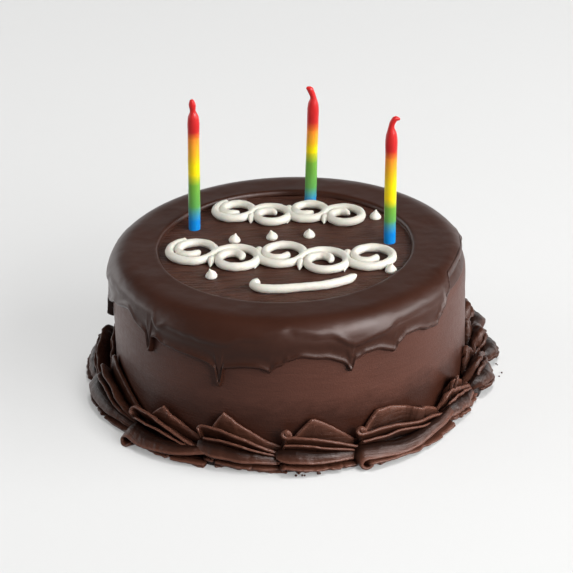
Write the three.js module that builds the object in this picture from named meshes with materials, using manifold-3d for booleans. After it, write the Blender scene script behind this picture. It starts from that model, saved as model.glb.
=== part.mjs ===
// A round iced cake with a poured ganache rim, a piped shell border, white piped
// scrollwork and three candles. Millimetres, +Z up, the origin at the centre of the
// flat underside. Azimuths are in degrees, from the front (-Y) towards +X.

import * as THREE from 'three';
import { mergeVertices } from 'three/addons/utils/BufferGeometryUtils.js';
import Module from 'manifold-3d';

const wasm = await Module();
wasm.setup();

// ---------------------------------------------------------------- driving sizes

const GAP = 0.3;                  // clearance between pieces that touch
const CAKE_RADIUS = 80;           // the iced wall
const DISC_HEIGHT = 63.5;         // the iced top, which the rim leaves bare
const SHOULDER_RADIUS = 9.5;      // the iced edge between top and wall
const SHOULDER_STEPS = 5;
const FOOT_BEVEL = 0.8;
const CAKE_SIDES = 72;

const RECESS_RADIUS = 57;         // the inner edge of the ganache rim
const RECESS_SHIFT = -1.2;        // the rim was poured a little to the left
const RIM_EDGE = [[0, 1], [0.4, 2.1], [2.4, 2.5]];   // [distance outward, thickness]
const RIM_THICKNESS = 2.5;
const ARC_THICKNESS = 2;
const SHOULDER_THICKNESS = 1.7;
const DRAPE_THICKNESS = 2.1;
const BEAD_THICKNESS = 2.7;       // the rounded bead along the hem
const BEAD_WIDTH = 2.6;
const HEM_THICKNESS = 1.5;
const HEM_SPACING = 5;            // degrees between the ganache's rings
const DRIP_ROUNDING = 0.7;        // degrees, how blunt a drip's tip is
const STEEP_HEM = 7;              // a rise in the hem that takes closer rings
const ARC_CLEARANCE = 0.15;       // keeps the ganache's facets off the shoulder

const SHELL_FOOT_RADIUS = 80.35;  // the shells' inner face, just off the wall
const SHELL_OVERLAP = 4.5;        // degrees that a tail runs under the next head
const SHELL_HOOD = 5;             // how far back from its start a head rounds off
const SHELL_HOOD_STEPS = [0.15, 0.7];
const SHELL_BODY_STEPS = 5;
const SHELL_TAIL = { run: 1.5, size: 0.6 };
const SHELL_CUT = 0.4;            // how much wider a head cuts the tail below it

const CANDLE_RADIUS = 2.72;
const CANDLE_DEPTH = 12;          // how deep a candle stands in the cake
const CANDLE_TAPER = { rise: 1.2, narrower: 0.5 };   // at the foot
const CANDLE_SIDES = 10;

const ROPE_RADIUS = 1.9;
const ROPE_SIDES = 6;
const ROPE_STEP = 3.7;

// How far up the ganache hem hangs: [azimuth, height], joined by soft curves.
const HEM_LEVELS = [
  [-180, 50], [-158, 48], [-128, 51], [-106, 47], [-92, 43], [-80, 47], [-70, 52],
  [-60, 53.5], [-46, 49.6], [-38, 49.3], [-28, 47.8], [-13, 46.8], [0, 50], [10, 49.6],
  [20, 48], [30, 48], [38, 51.5], [45, 50.2], [51, 49], [59, 60], [75, 60.5], [95, 59],
  [108, 51], [130, 48], [155, 51], [180, 50],
];

// Drips below that hem: [azimuth, drop, width in degrees].
const DRIPS = [
  [-167, 8, 2.6], [-148, 5, 3.2], [-129, 13, 2], [-110, 6, 3], [-89, 11, 1.8],
  [-48.6, 8.2, 1.6], [-22.4, 11.5, 1.9], [-6.8, 3.4, 2.2], [17.2, 6, 2.6], [31.8, 2.2, 2],
  [49.5, 1.4, 2.2], [112, 9, 2.2], [128, 4, 3.4], [146, 12, 2], [168, 6, 3],
];

// The shells in the order they were piped: the azimuth where the head starts, how far
// the shell bulges outward beside the plain section, and how far its wall ridge trails.
const SHELLS = [
  [-110, 1.42, 9], [-85, 1.3, 7], [-57.5, 1.34, 13.5], [-29.5, 1.08, 8.5], [-6.5, 1.04, 14],
  [16, 1.06, 12], [48.5, 1.12, 9], [67.5, 1.12, 6], [85.5, 1.42, 8], [103.5, 1.48, 9],
  [125, 1.1, 11], [147, 1.12, 8], [167, 1, 12], [188, 1.08, 9], [210, 1.12, 11], [230, 1.1, 8],
];

// A shell's ridges from the floor up to the wall: angle above the floor, length at the
// head and at the tail, and how far its end trails behind the head's start. The wall
// ridge's own trail is the shell's.
const RIDGES = [
  { angle: 0, head: 9.8, tail: 7.6, trail: 3 },
  { angle: 20, head: 12.2, tail: 8.3, trail: 1.5 },
  { angle: 40, head: 14.8, tail: 9, trail: 0 },
  { angle: 66, head: 19, tail: 9, trail: 0.8 },
  { angle: 86, head: 22.8, tail: 7.8 },
];
const GROOVE_DEPTH = 0.66;        // a groove's length beside its shorter ridge, at the head
const TAIL_GROOVE_DEPTH = 0.8;
const FOOT_TRAIL = 3;
const RIDGE_THICKNESS = 0.6;      // of the wall ridge, where it meets the wall
const HEAD_CENTRE = { angle: 38, length: 3.5, trail: 1.5 };

// ---------------------------------------------------------------- helpers

const radians = THREE.MathUtils.degToRad;
const lerp = THREE.MathUtils.lerp;
const clamp = THREE.MathUtils.clamp;

function seeded(seed) {
  let state = seed;
  return () => {
    state = (state * 1664525 + 1013904223) % 4294967296;
    return state / 4294967296;
  };
}

function around(radius, azimuth, z) {
  const angle = radians(azimuth);
  return new THREE.Vector3(radius * Math.sin(angle), -radius * Math.cos(angle), z);
}

function finish(color, roughness) {
  return new THREE.MeshStandardMaterial({ color, roughness, metalness: 0 });
}

function closedGeometry(points, faces) {
  const geometry = new THREE.BufferGeometry();
  const flat = points.flatMap((p) => [p.x, p.y, p.z]);
  geometry.setAttribute('position', new THREE.Float32BufferAttribute(flat, 3));
  geometry.setIndex(faces.flat());
  return geometry;
}

// A closed skin over rings of equal length, which are joined in order. The ring of
// rings closes on itself, or each end is filled by a fan about its middle.
function skin(rings, closed) {
  const size = rings[0].length;
  const points = rings.flat();
  const faces = [];
  const last = closed ? rings.length : rings.length - 1;
  for (let i = 0; i < last; i += 1) {
    const here = i * size;
    const next = ((i + 1) % rings.length) * size;
    for (let j = 0; j < size; j += 1) {
      const k = (j + 1) % size;
      faces.push([here + j, here + k, next + k], [here + j, next + k, next + j]);
    }
  }
  if (!closed) {
    for (const [start, flip] of [[0, true], [(rings.length - 1) * size, false]]) {
      const middle = new THREE.Vector3();
      for (let j = 0; j < size; j += 1) middle.add(points[start + j]);
      points.push(middle.divideScalar(size));
      const centre = points.length - 1;
      for (let j = 0; j < size; j += 1) {
        const k = (j + 1) % size;
        const a = start + (flip ? k : j);
        const b = start + (flip ? j : k);
        faces.push([centre, a, b]);
      }
    }
  }
  return closedGeometry(points, faces);
}

// Rings of a round section along a path, each square to it. The first side vector is
// carried along, so that the skin doesn't twist.
function sweepRings(path, radii, sides) {
  const rings = [];
  let side = new THREE.Vector3(0, 0, 1);
  path.forEach((point, i) => {
    const ahead = path[Math.min(i + 1, path.length - 1)];
    const behind = path[Math.max(i - 1, 0)];
    const along = new THREE.Vector3().subVectors(ahead, behind).normalize();
    if (i === 0 && Math.abs(along.z) > 0.9) side = new THREE.Vector3(1, 0, 0);
    side.addScaledVector(along, -side.dot(along)).normalize();
    const across = new THREE.Vector3().crossVectors(along, side);
    const ring = [];
    for (let j = 0; j < sides; j += 1) {
      const angle = (2 * Math.PI * j) / sides;
      ring.push(point.clone()
        .addScaledVector(side, radii[i] * Math.cos(angle))
        .addScaledVector(across, radii[i] * Math.sin(angle)));
    }
    rings.push(ring);
  });
  return rings;
}

function toSolid(geometry) {
  const bare = geometry.clone();
  bare.deleteAttribute('normal');
  bare.deleteAttribute('uv');
  const merged = mergeVertices(bare, 1e-4);
  const vertProperties = new Float32Array(merged.attributes.position.array);
  const triVerts = new Uint32Array(merged.index.array);
  return new wasm.Manifold(new wasm.Mesh({ numProp: 3, vertProperties, triVerts }));
}

// The largest piece of a cut solid, as a geometry.
function toGeometry(solid) {
  const pieces = solid.decompose().sort((a, b) => b.volume() - a.volume());
  const mesh = pieces[0].getMesh();
  const geometry = new THREE.BufferGeometry();
  const position = [];
  for (let i = 0; i < mesh.numVert; i += 1) {
    const at = i * mesh.numProp;
    position.push(...mesh.vertProperties.slice(at, at + 3));
  }
  geometry.setAttribute('position', new THREE.Float32BufferAttribute(position, 3));
  geometry.setIndex(Array.from(mesh.triVerts));
  return geometry;
}

function named(name, geometry, material) {
  const shaded = geometry.index ? geometry.toNonIndexed() : geometry;
  shaded.computeVertexNormals();
  const mesh = new THREE.Mesh(shaded, material);
  mesh.name = name;
  return mesh;
}

// ---------------------------------------------------------------- candles

const CANDLES = [
  {
    name: 'candle_left', foot: [-42.6, 23.9], shoulder: [-40.6, 118.2],
    wick: [[-40.7, 122.2, 1.4], [-40.8, 125, 1.6], [-40.9, 126.6, 1.1]],
  },
  {
    name: 'candle_back', foot: [11.3, 47], shoulder: [13.8, 113.2],
    wick: [[13.9, 117, 1.45], [13.2, 119.6, 1.4], [12.3, 121.4, 1.45], [11.4, 121.9, 0.9]],
  },
  {
    name: 'candle_right', foot: [46.1, 3.2], shoulder: [47.35, 115.2],
    wick: [[47.3, 119.6, 1.4], [47.9, 121.9, 1.3], [49.4, 123.6, 1.2], [50.8, 123.3, 0.6]],
  },
];

function candleStations(candle, grow) {
  const [footX, y] = candle.foot;
  const [topX, topZ] = candle.shoulder;
  const lean = (topX - footX) / (topZ - DISC_HEIGHT);
  const at = (z) => new THREE.Vector3(footX + lean * (z - DISC_HEIGHT), y, z);
  const bottom = DISC_HEIGHT - CANDLE_DEPTH - grow;
  const path = [at(bottom), at(bottom + CANDLE_TAPER.rise), at(DISC_HEIGHT), at(topZ)];
  const radii = [CANDLE_RADIUS - CANDLE_TAPER.narrower, ...Array(3).fill(CANDLE_RADIUS)];
  for (const [x, z, radius] of candle.wick) {
    path.push(new THREE.Vector3(x, y, z));
    radii.push(radius);
  }
  return { path, radii: radii.map((radius) => radius + grow) };
}

function candleGeometry(candle, grow = 0) {
  const { path, radii } = candleStations(candle, grow);
  return skin(sweepRings(path, radii, CANDLE_SIDES), false);
}

// ---------------------------------------------------------------- the cake

function cakeGeometry() {
  const profile = [
    new THREE.Vector2(0, 0),
    new THREE.Vector2(CAKE_RADIUS - FOOT_BEVEL, 0),
    new THREE.Vector2(CAKE_RADIUS, FOOT_BEVEL),
  ];
  for (let i = 0; i <= SHOULDER_STEPS; i += 1) {
    const angle = (i / SHOULDER_STEPS) * (Math.PI / 2);
    profile.push(new THREE.Vector2(
      CAKE_RADIUS - SHOULDER_RADIUS * (1 - Math.cos(angle)),
      DISC_HEIGHT - SHOULDER_RADIUS * (1 - Math.sin(angle)),
    ));
  }
  profile.push(new THREE.Vector2(0, DISC_HEIGHT));
  const turned = new THREE.LatheGeometry(profile, CAKE_SIDES);
  turned.rotateX(Math.PI / 2);
  let solid = toSolid(turned);
  for (const candle of CANDLES) {
    solid = solid.subtract(toSolid(candleGeometry(candle, GAP)));
  }
  return toGeometry(solid);
}

// ---------------------------------------------------------------- the ganache

// Softly joined levels: a cosine ramp from each [azimuth, value] to the next.
function levelAt(levels, azimuth) {
  const i = Math.max(1, levels.findIndex(([a]) => a >= azimuth));
  const [a0, v0] = levels[i - 1];
  const [a1, v1] = levels[i];
  const t = (1 - Math.cos((Math.PI * (azimuth - a0)) / (a1 - a0))) / 2;
  return lerp(v0, v1, t);
}

function hemHeight(azimuth) {
  let height = levelAt(HEM_LEVELS, azimuth);
  for (const [at, drop, width] of DRIPS) {
    const away = Math.hypot(azimuth - at, DRIP_ROUNDING) - DRIP_ROUNDING;
    height -= drop * Math.exp(-away / width);
  }
  return height;
}

// The iced surface below the ganache, by the distance from the rim's inner edge: the
// flat top, the shoulder's quarter round, then the wall.
const FLAT_RUN = CAKE_RADIUS - SHOULDER_RADIUS - RECESS_RADIUS;
const ROUND_RUN = SHOULDER_RADIUS * (Math.PI / 2);
const WALL_TOP = DISC_HEIGHT - SHOULDER_RADIUS;

function icedSurface(run) {
  const turn = clamp((run - FLAT_RUN) / SHOULDER_RADIUS, 0, Math.PI / 2);
  const flat = Math.min(run, FLAT_RUN);
  const wall = Math.max(0, run - FLAT_RUN - ROUND_RUN);
  return {
    radius: RECESS_RADIUS + flat + SHOULDER_RADIUS * Math.sin(turn),
    height: DISC_HEIGHT - SHOULDER_RADIUS * (1 - Math.cos(turn)) - wall,
    turn,
  };
}

function runAtHeight(height) {
  if (height < WALL_TOP) return FLAT_RUN + ROUND_RUN + WALL_TOP - height;
  return FLAT_RUN + SHOULDER_RADIUS * Math.acos((height - WALL_TOP) / SHOULDER_RADIUS);
}

function ganachePoint(run, thickness, azimuth) {
  const { radius, height, turn } = icedSurface(run);
  const out = radius + thickness * Math.sin(turn);
  const inward = 1 - clamp((radius - RECESS_RADIUS) / FLAT_RUN, 0, 1);
  const point = around(out, azimuth, height + thickness * Math.cos(turn));
  point.x += RECESS_SHIFT * inward;
  return point;
}

function hemAzimuths() {
  const all = [];
  for (let a = -180; a < 180; a += HEM_SPACING) all.push(a);
  for (const [at, , width] of DRIPS) all.push(at - 1.4 * width, at, at + 1.4 * width);
  HEM_LEVELS.slice(1).forEach(([a, level], i) => {
    const [before, lower] = HEM_LEVELS[i];
    const steep = Math.abs(level - lower) > STEEP_HEM;
    for (let j = 1; steep && j < 4; j += 1) all.push(lerp(before, a, j / 4));
  });
  all.sort((a, b) => a - b);
  return all.filter((a, i) => i === 0 || a - all[i - 1] > 1.1);
}

function ganacheGeometry() {
  const arcRun = (angle) => FLAT_RUN + SHOULDER_RADIUS * radians(angle);
  const rings = hemAzimuths().map((azimuth) => {
    const hem = runAtHeight(hemHeight(azimuth));
    const between = (t) => lerp(arcRun(30), hem, t);
    const outer = [
      ...RIM_EDGE, [FLAT_RUN, RIM_THICKNESS], [arcRun(30), ARC_THICKNESS],
      [between(0.4), SHOULDER_THICKNESS], [between(0.72), DRAPE_THICKNESS],
      [hem - BEAD_WIDTH, BEAD_THICKNESS - 0.2], [hem - 1, BEAD_THICKNESS],
      [hem, HEM_THICKNESS],
    ];
    const inner = [[hem - 0.4, GAP]];
    [90, 70, 50].forEach((angle, i) => {
      inner.push([Math.min(arcRun(angle), hem - 0.9 - i * 0.5), GAP + ARC_CLEARANCE]);
    });
    inner.push([arcRun(30), GAP + ARC_CLEARANCE], [FLAT_RUN, GAP], [0, GAP]);
    return [...outer, ...inner].map(([run, t]) => ganachePoint(run, t, azimuth));
  });
  return skin(rings, true);
}

// ---------------------------------------------------------------- the shell border

function polar(angle, length) {
  return [length * Math.cos(radians(angle)), length * Math.sin(radians(angle))];
}

// One shell's outline across its length at a share t from head to tail: pairs of
// distance out from the wall's foot and height, with how far each trails behind.
function shellSection(t, ridges, grow) {
  const shrink = t ** 0.9;
  const points = [{ out: -grow, up: -grow, trail: FOOT_TRAIL }];
  ridges.forEach((ridge, i) => {
    const length = lerp(ridge.head, ridge.tail, shrink) + grow;
    if (i > 0) {
      const below = ridges[i - 1];
      const shorter = Math.min(length - grow, lerp(below.head, below.tail, shrink));
      const groove = lerp(GROOVE_DEPTH, TAIL_GROOVE_DEPTH, t) * shorter + grow;
      const [out, up] = polar((ridge.angle + below.angle) / 2, groove);
      points.push({ out, up, trail: (ridge.trail + below.trail) / 2 + 1 });
    }
    const [out, up] = polar(ridge.angle, length);
    points.push({ out, up, trail: ridge.trail });
  });
  const top = points[points.length - 1];
  points.push({ out: -grow, up: top.up - RIDGE_THICKNESS, trail: top.trail });
  return points;
}

function shellGeometry(shell, grow = 0) {
  const length = radians(shell.span) * SHELL_FOOT_RADIUS;
  const [centreOut, centreUp] = polar(HEAD_CENTRE.angle, HEAD_CENTRE.length);
  const stations = [];
  for (const hood of SHELL_HOOD_STEPS) {
    stations.push([SHELL_HOOD * (1 - Math.sqrt(1 - hood * hood)), hood]);
  }
  for (let i = 0; i <= SHELL_BODY_STEPS; i += 1) {
    stations.push([lerp(SHELL_HOOD, length, i / SHELL_BODY_STEPS), 1]);
  }
  stations.push([length + SHELL_TAIL.run, SHELL_TAIL.size]);
  const rings = stations.map(([run, hood]) => {
    const t = clamp(run / length, 0, 1);
    const ring = shellSection(t, shell.ridges, grow).map(({ out, up, trail }) => {
      const behind = run + lerp(HEAD_CENTRE.trail, trail, hood) * (1 - t) ** 2 - grow;
      const radius = SHELL_FOOT_RADIUS + shell.bulge * lerp(centreOut, out, hood);
      const azimuth = shell.head + (behind / SHELL_FOOT_RADIUS) * (180 / Math.PI);
      return around(radius, azimuth, lerp(centreUp, up, hood));
    });
    return ring.reverse();
  });
  return skin(rings, false);
}

function shellPlans() {
  const random = seeded(29);
  return SHELLS.map(([head, bulge, wallTrail], i) => {
    const next = SHELLS[i + 1]?.[0] ?? SHELLS[0][0] + 360;
    const ridges = RIDGES.map((ridge) => ({
      angle: ridge.angle + (ridge.angle > 0 ? lerp(-2.5, 2.5, random()) : 0),
      head: ridge.head * lerp(0.96, 1.04, random()),
      tail: ridge.tail * lerp(0.95, 1.05, random()),
      trail: (ridge.trail ?? wallTrail) + lerp(-0.7, 0.7, random()),
    }));
    return { head, bulge, span: next - head + SHELL_OVERLAP, ridges };
  });
}

function shellMeshes() {
  const plans = shellPlans();
  const material = finish('#3c251d', 0.5);
  return plans.map((plan, i) => {
    const next = plans[(i + 1) % plans.length];
    const cut = toSolid(shellGeometry(plan)).subtract(toSolid(shellGeometry(next, SHELL_CUT)));
    const name = `shell_${String(i + 1).padStart(2, '0')}`;
    return named(name, toGeometry(cut), material);
  });
}

// ---------------------------------------------------------------- the scrollwork

const ROPE_HEIGHT = DISC_HEIGHT + GAP + ROPE_RADIUS;

// A vine is a row of curls, each tangent to the last. The stem runs under one, over the
// next, and each curl goes on round inside itself.
const VINES = [
  {
    name: 'scroll_lower', start: [-43.2, -7], heading: -8, count: 5,
    radius: 10.4, sway: 3, turns: 1.5, leaf: 9.5,
  },
  {
    name: 'scroll_upper', start: [-24.5, 35.5], heading: -5, count: 4,
    radius: 8.8, sway: 2.4, turns: 1.4, leaf: 8,
  },
];
const CURL_END = 2.6;             // how far from its centre a curl stops
const CURL_TAIL = 70;             // degrees by which a vine's first curl starts early
const LEAF_RADIUS = 1.85;
const DOT_RADIUS = 2.7;
const DOT_SIDES = 8;
const DOT_PROFILE = [[0, 0], [0.85, 0], [1, 0.35], [0.8, 0.8], [0.35, 1.15], [0, 1.55]];
const DOTS = [[-24, 8.5], [-7, 10.5], [10, 11.5], [41, 29], [-34, -27], [45, -27]];
const FLOURISH = [
  [-13, -36.5], [-15.5, -40], [-12, -43.5], [-4, -44.5], [6, -43.5], [16, -42],
  [25, -38], [29.5, -33.5],
];

// A piped rope along [x, y] points, as thick as its radii say.
function ropeSolid(points, radii) {
  const path = points.map(([x, y]) => new THREE.Vector3(x, y, ROPE_HEIGHT));
  return toSolid(skin(sweepRings(path, radii, ROPE_SIDES), false));
}

// Round at the start and drawn out thin at the end.
function ropeRadii(count) {
  const radii = Array(count).fill(ROPE_RADIUS);
  radii[0] = ROPE_RADIUS * 0.5;
  radii[count - 2] = ROPE_RADIUS * 0.85;
  radii[count - 1] = ROPE_RADIUS * 0.4;
  return radii;
}

// Round a centre from a start angle: at full radius for half a turn past the lead,
// then drawing in.
function curlPoints(centre, radius, startAngle, spin, turns, lead) {
  const sweep = 360 * turns + lead;
  const hold = (180 + lead) / sweep;
  const count = Math.ceil((radians(sweep) * (radius + CURL_END)) / 2 / ROPE_STEP);
  const points = [];
  for (let i = 0; i <= count; i += 1) {
    const t = i / count;
    const drawn = Math.max(0, (t - hold) / (1 - hold));
    const angle = radians(startAngle + spin * sweep * t);
    const reach = lerp(radius, CURL_END, drawn);
    points.push([centre[0] + reach * Math.cos(angle), centre[1] + reach * Math.sin(angle)]);
  }
  return points;
}

// A leaf: from inside the stem, swelling, then drawn to a point.
function leafSolid([x, y], heading, length) {
  const shares = [0, 0.3, 0.6, 0.85, 1];
  const radii = [0.7, 0.85, 1, 0.6, 0.15].map((r) => r * LEAF_RADIUS);
  const along = [Math.cos(radians(heading)), Math.sin(radians(heading))];
  const points = shares.map((t) => [x + along[0] * length * t, y + along[1] * length * t]);
  return ropeSolid(points, radii);
}

function vineSolid(vine) {
  const along = [Math.cos(radians(vine.heading)), Math.sin(radians(vine.heading))];
  const pitch = 2 * Math.sqrt(vine.radius ** 2 - vine.sway ** 2);
  const centres = [];
  for (let i = 0; i < vine.count; i += 1) {
    const side = (i % 2 ? -1 : 1) * vine.sway;
    centres.push([
      vine.start[0] + along[0] * pitch * i - along[1] * side,
      vine.start[1] + along[1] * pitch * i + along[0] * side,
    ]);
  }
  let solid = null;
  centres.forEach((centre, i) => {
    const spin = i % 2 ? -1 : 1;
    const last = centres[i - 1];
    const lead = last ? 0 : CURL_TAIL;
    const back = last
      ? THREE.MathUtils.radToDeg(Math.atan2(last[1] - centre[1], last[0] - centre[0]))
      : vine.heading + 180;
    const start = back - spin * lead;
    const points = curlPoints(centre, vine.radius, start, spin, vine.turns, lead);
    const rope = ropeSolid(points, ropeRadii(points.length));
    solid = solid ? solid.add(rope) : rope;
    if (last) {
      const joint = [(last[0] + centre[0]) / 2, (last[1] + centre[1]) / 2];
      for (const side of [90, -90]) {
        solid = solid.add(leafSolid(joint, vine.heading + side, vine.leaf));
      }
    }
  });
  return solid;
}

function flourishSolid() {
  const points = FLOURISH.map(([x, y]) => new THREE.Vector3(x, y, 0));
  const curve = new THREE.CatmullRomCurve3(points);
  const count = Math.ceil(curve.getLength() / ROPE_STEP);
  const path = curve.getSpacedPoints(count).map((p) => [p.x, p.y]);
  return ropeSolid(path, ropeRadii(path.length));
}

// A dot of icing, let go with a small peak.
function dotGeometry([x, y]) {
  const points = DOT_PROFILE.map(([r, z]) => new THREE.Vector2(r, z).multiplyScalar(DOT_RADIUS));
  const turned = new THREE.LatheGeometry(points, DOT_SIDES);
  turned.rotateX(Math.PI / 2);
  turned.translate(x, y, DISC_HEIGHT + GAP);
  return toGeometry(toSolid(turned));
}

function scrollMeshes() {
  const material = finish('#e6e1d3', 0.55);
  const meshes = VINES.map((vine) => named(vine.name, toGeometry(vineSolid(vine)), material));
  meshes.push(named('scroll_flourish', toGeometry(flourishSolid()), material));
  DOTS.forEach((dot, i) => {
    meshes.push(named(`dot_${i + 1}`, dotGeometry(dot), material));
  });
  return meshes;
}

// ---------------------------------------------------------------- the whole

const group = new THREE.Group();
group.add(named('cake', cakeGeometry(), finish('#52382f', 0.55)));
group.add(named('ganache', ganacheGeometry(), finish('#3b2822', 0.2)));
group.add(...shellMeshes());
group.add(...scrollMeshes());
for (const candle of CANDLES) {
  group.add(named(candle.name, candleGeometry(candle), finish('#d9a02c', 0.4)));
}

export default group;
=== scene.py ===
"""A round chocolate cake: a poured ganache rim with drips, a piped shell border, white
piped scrollwork and three striped candles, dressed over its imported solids.

Sizes are in millimetres until a mesh is made. Azimuths are in degrees, from the front
(-Y) towards +X. Every piece is made in place, so its object stays at the origin."""

import math

import bpy
import numpy as np
from mathutils import Matrix, Vector


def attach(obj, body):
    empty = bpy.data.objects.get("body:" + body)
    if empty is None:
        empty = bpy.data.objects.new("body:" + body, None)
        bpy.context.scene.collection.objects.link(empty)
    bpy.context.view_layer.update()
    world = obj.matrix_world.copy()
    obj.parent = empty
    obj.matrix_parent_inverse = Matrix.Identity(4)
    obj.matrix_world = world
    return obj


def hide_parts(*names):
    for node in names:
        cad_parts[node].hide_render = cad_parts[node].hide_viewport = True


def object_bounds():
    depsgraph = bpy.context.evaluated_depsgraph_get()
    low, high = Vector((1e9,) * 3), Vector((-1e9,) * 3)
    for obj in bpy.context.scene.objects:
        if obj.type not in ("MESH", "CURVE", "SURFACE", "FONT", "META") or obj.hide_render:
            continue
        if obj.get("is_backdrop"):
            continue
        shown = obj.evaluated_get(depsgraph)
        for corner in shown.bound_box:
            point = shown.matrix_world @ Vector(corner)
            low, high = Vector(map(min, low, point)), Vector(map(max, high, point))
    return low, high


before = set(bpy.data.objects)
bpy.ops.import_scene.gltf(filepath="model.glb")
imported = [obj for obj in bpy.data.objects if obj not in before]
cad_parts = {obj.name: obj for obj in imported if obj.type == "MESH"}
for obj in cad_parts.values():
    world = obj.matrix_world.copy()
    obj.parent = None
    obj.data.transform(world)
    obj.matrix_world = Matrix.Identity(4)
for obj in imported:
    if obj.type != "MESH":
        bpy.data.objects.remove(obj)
cad_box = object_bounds()

MM = 0.001

# ---- driving sizes

CAKE_RADIUS = 80.0
DISC_HEIGHT = 63.5
SHOULDER_RADIUS = 9.5
WALL_TOP = DISC_HEIGHT - SHOULDER_RADIUS
FOOT_BEVEL = 0.8
CAKE_COLUMNS = 480

RECESS_RADIUS = 57.0
RECESS_SHIFT = -1.2
FLAT_RUN = CAKE_RADIUS - SHOULDER_RADIUS - RECESS_RADIUS
ROUND_RUN = SHOULDER_RADIUS * math.pi / 2
GANACHE_COLUMNS = 1200
RIM_THICKNESS = 2.5
DRAPE_THICKNESS = 1.55
FOLD_THICKNESS = 0.5         # how much thicker the second flow is than the first
FOLD_LIP = 0.28              # how far the second flow's edge stands up
HOLLOW = 0.25                # how far the drape sinks above the bead
BEAD_THICKNESS = 0.75        # how far the hem's bead stands out of the drape
STUB_WIDTH = 0.95            # half of a drip stub's width, in degrees
STUB_THICKNESS = (0.3, 0.5)  # how much thicker a stub's bead and the run above it are
HEM_ROUND = 2.0              # how far the hem's edge takes to round over
LIP = dict(azimuth=82, run=22, thickness=1.3)   # a proud lump on the right shoulder

# How far up the ganache hem hangs, [azimuth, height], and its drips, [azimuth, skirt's
# drop, skirt's width to the left and to the right, the drop of the stub below it].
HEM_LEVELS = [
    [-180, 50], [-158, 48], [-128, 51], [-106, 47], [-92, 43], [-80, 47], [-70, 52],
    [-60, 55], [-52.5, 51.2], [-46, 50], [-41.5, 47.9], [-34, 46.6], [-27.5, 45.8],
    [-20, 44.1], [-13.5, 45.7], [-9.5, 46], [-3, 47.2], [-1, 49.2], [3, 50.5], [10, 49.4],
    [15, 48.2], [20.5, 47.4], [23, 48.7], [27, 49], [31.5, 47.4], [34.6, 48.8], [37.5, 51.2],
    [42, 51.3], [47, 49.2], [50.8, 48.2], [52.5, 51], [54.8, 53.7], [58.5, 57.5], [66, 61.3],
    [75, 61.5], [95, 60], [108, 51], [130, 48], [155, 51], [180, 50],
]
DRIPS = [
    [-167, 5, 3, 1.6, 3], [-148, 4, 2.4, 3.4, 0], [-129, 7, 2.6, 1.5, 5], [-110, 5, 3.6, 2, 0],
    [-85.5, 5, 2.4, 1.2, 5], [-48.4, 3.4, 2, 1, 5.2], [-22.2, 3, 2.6, 0.8, 6.4], [-6.4, 3, 2, 1.2, 0],
    [18, 4.4, 2.6, 0.9, 1.6], [33, 1.8, 1.8, 0.8, 0.6], [112, 5, 2.6, 1.6, 4],
    [128, 4, 3.4, 3, 0], [146, 7, 2.4, 1.6, 4.5], [168, 5, 3, 2.4, 0],
]
# Where the second flow ends, above the hem.
FOLD_LEVELS = [
    [-180, 57], [-166, 55], [-150, 59], [-131, 54.6], [-112, 58.5], [-90, 54], [-76, 58],
    [-62, 59], [-48, 58.6], [-44.4, 54.9], [-40, 57], [-28, 55.6], [-21.9, 54.6],
    [-14, 57.8], [0, 60.5], [10, 59], [20.3, 53.8], [28, 55.4], [36, 58.8], [47, 59.5],
    [100, 60], [113, 55], [127, 58], [147, 54.5], [162, 58.5], [180, 57],
]

SHELL_FOOT = 80.35
SHELL_OVERLAP = 4.5
# A shell's usual make. Each row of SHELLS says what is different on its shell.
SHELL = dict(
    bulge=1.08,          # how far it is stretched outwards
    height=1,            # and upwards
    trail=9,             # how far the wall fin's head trails
    wave=2,              # how wavy the fins are, in degrees
    torn=1,              # how torn their edges are
    plump=1.1,           # how plump their edges are
    style="hooks",       # heads hooked over, curled into a "knob", or round "lobes"
    start=2,             # where the fins start
    curls=1,             # how large they curl
    full=16,             # how full the wall fin stays half way
    belly="round",       # the belly's head, "round" or "hooked"
    spread=1.2,          # how far the lowest fins spread
    crimp=-20,           # how far along the wall fin is crimped
    crumple=0,           # how crumpled it all is
    tone_and_painted_light=1,              # how far its painted shade gives way to a painted highlight on its edges
)
# The shells in the order they were piped, by the azimuths of their heads.
SHELLS = [
    # shells at the far sides have the light on their edges cut, as painted shade
    dict(head=-110, bulge=1.3, trail=6, style="lobes", height=0.95, crumple=0.3, tone_and_painted_light=0.8),
    dict(head=-85, bulge=1.18, trail=5, torn=1.2, style="lobes", full=17, tone_and_painted_light=0.8),
    dict(head=-57.5, bulge=1.26, trail=13.5, torn=1.5, plump=1, start=7, curls=1.2, height=0.83,
         full=15.5, belly="hooked", spread=1.1),
    dict(head=-29.5, bulge=1.04, trail=10, wave=1.2, torn=1.3, plump=1, start=1.5, curls=0.9, full=15,
         spread=1),
    dict(head=-6.5, bulge=1.04, trail=14, plump=1, style="knob", height=0.95, full=18.5, spread=1.25),
    dict(head=16, trail=12, wave=4, torn=0.7, style="knob", height=0.9, full=19, belly="hooked",
         spread=1.4, crimp=31, crumple=0.12),
    dict(head=48.5, bulge=0.86, wave=4, plump=1.4, style="lobes", height=0.9, spread=1, crimp=7,
         crumple=0.5),
    dict(head=67.5, bulge=1.12, trail=6, wave=3, torn=0.4, plump=1.8, style="lobes", curls=1.6,
         crumple=0.45, tone_and_painted_light=0.85),
    dict(head=85.5, bulge=1.34, trail=8, wave=3, torn=0.4, plump=1.9, style="lobes", curls=1.7,
         crumple=0.5, tone_and_painted_light=0.8),
    dict(head=103.5, bulge=1.62, torn=0.4, plump=1.7, style="lobes", curls=1.6, crumple=0.3, tone_and_painted_light=0.8),
    dict(head=125, trail=11, curls=1.1),
    dict(head=147, bulge=1.12, trail=8, torn=1.2, style="knob", belly="hooked", crimp=20),
    dict(head=167, bulge=1, trail=12),
    dict(head=188, wave=3, plump=1, curls=1.2),
    dict(head=210, bulge=1.12, trail=11, torn=1.2, style="knob", full=18),
    dict(head=230, trail=8, plump=1.2, style="lobes"),
]
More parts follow.
